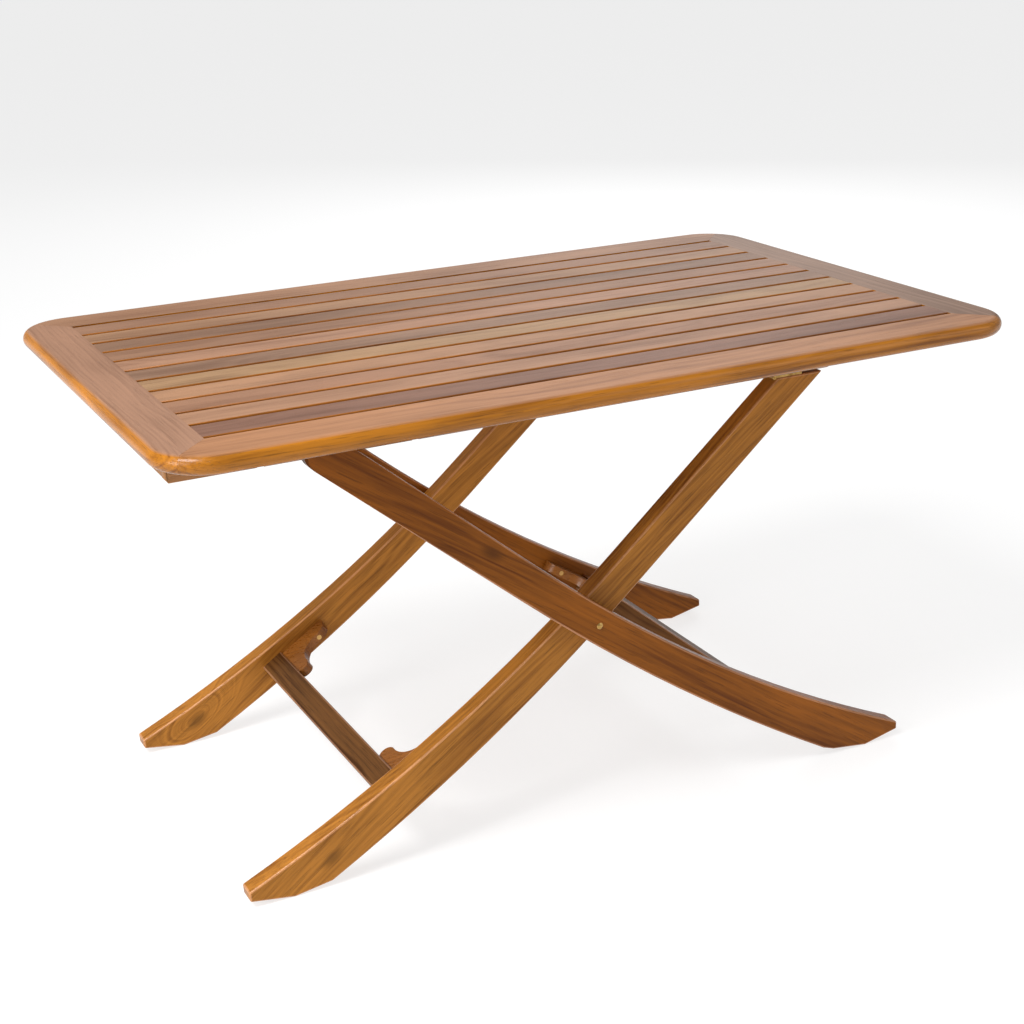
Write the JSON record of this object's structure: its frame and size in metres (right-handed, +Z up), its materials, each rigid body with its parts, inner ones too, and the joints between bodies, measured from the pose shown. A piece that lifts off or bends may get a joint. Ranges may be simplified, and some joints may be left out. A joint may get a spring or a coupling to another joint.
{
  "type": "folding picnic table",
  "caption": "Folding slatted wooden table with crossed curved legs, notched height racks under the top, and brass hinges.",
  "frame": {"origin": "on the floor below the centre of the top", "axes": "+X along the length of the top towards the hinged legs, +Y towards the back, +Z up"},
  "size_m": [1.2, 0.74, 0.647],
  "materials": {
    "top_wood": "oiled hardwood, matte on the faces and satin on the rounded edge",
    "leg_wood": "oiled hardwood, satin, golden brown to red brown",
    "dark_wood": "oiled hardwood, satin, dark brown",
    "plug_wood": "pale end-grain plug",
    "brass": "plain brass, slightly dulled"
  },
  "bodies": {
    "top": {"front_rail": "top_wood", "back_rail": "top_wood", "left_end_rail": "top_wood", "right_end_rail": "top_wood", "mitre_splines": "top_wood", "slat_01": "top_wood", "slat_02": "top_wood", "slat_03": "top_wood", "slat_04": "top_wood", "slat_05": "top_wood", "slat_06": "top_wood", "slat_07": "top_wood", "slat_08": "top_wood", "slat_09": "top_wood", "slat_10": "top_wood", "slat_11": "top_wood", "front_rack": "top_wood", "back_rack": "top_wood", "left_bearer": "top_wood", "middle_bearer": "top_wood", "right_bearer": "top_wood", "rack_screws": "brass", "bearer_screws": "brass", "hinge_leaves_top": "brass", "hinge_pins": "brass", "hinge_screws_top": "brass"},
    "inner_frame": {"front_inner_leg": "leg_wood", "back_inner_leg": "leg_wood", "inner_stretcher": "dark_wood", "front_inner_bracket": "leg_wood", "back_inner_bracket": "leg_wood", "inner_bracket_screws": "brass", "inner_bracket_plugs": "plug_wood", "hinge_leaves_leg": "brass", "hinge_screws_leg": "brass"},
    "outer_frame": {"front_outer_leg": "leg_wood", "back_outer_leg": "leg_wood", "outer_stretcher": "dark_wood", "front_outer_bracket": "leg_wood", "back_outer_bracket": "leg_wood", "outer_bracket_screws": "brass", "outer_bracket_plugs": "plug_wood", "rack_rod": "brass", "pivot_bolts": "brass", "pivot_washers": "brass", "pivot_nuts": "brass"}
  },
  "joints": [
    {"name": "leg_fold", "type": "hinge", "parent": "top", "child": "inner_frame", "pos_m": [0.277, 0, 0.5819], "axis": [0, 1, 0], "range_deg": [0, 34.5]},
    {"name": "leg_scissor", "type": "hinge", "parent": "inner_frame", "child": "outer_frame", "pos_m": [-0.015, 0, 0.295], "axis": [0, -1, 0], "range_deg": [0, 66.2]}
  ],
  "couplings": [
    {"joint": "leg_scissor", "follows": "leg_fold", "ratio": 1.912}
  ]
}
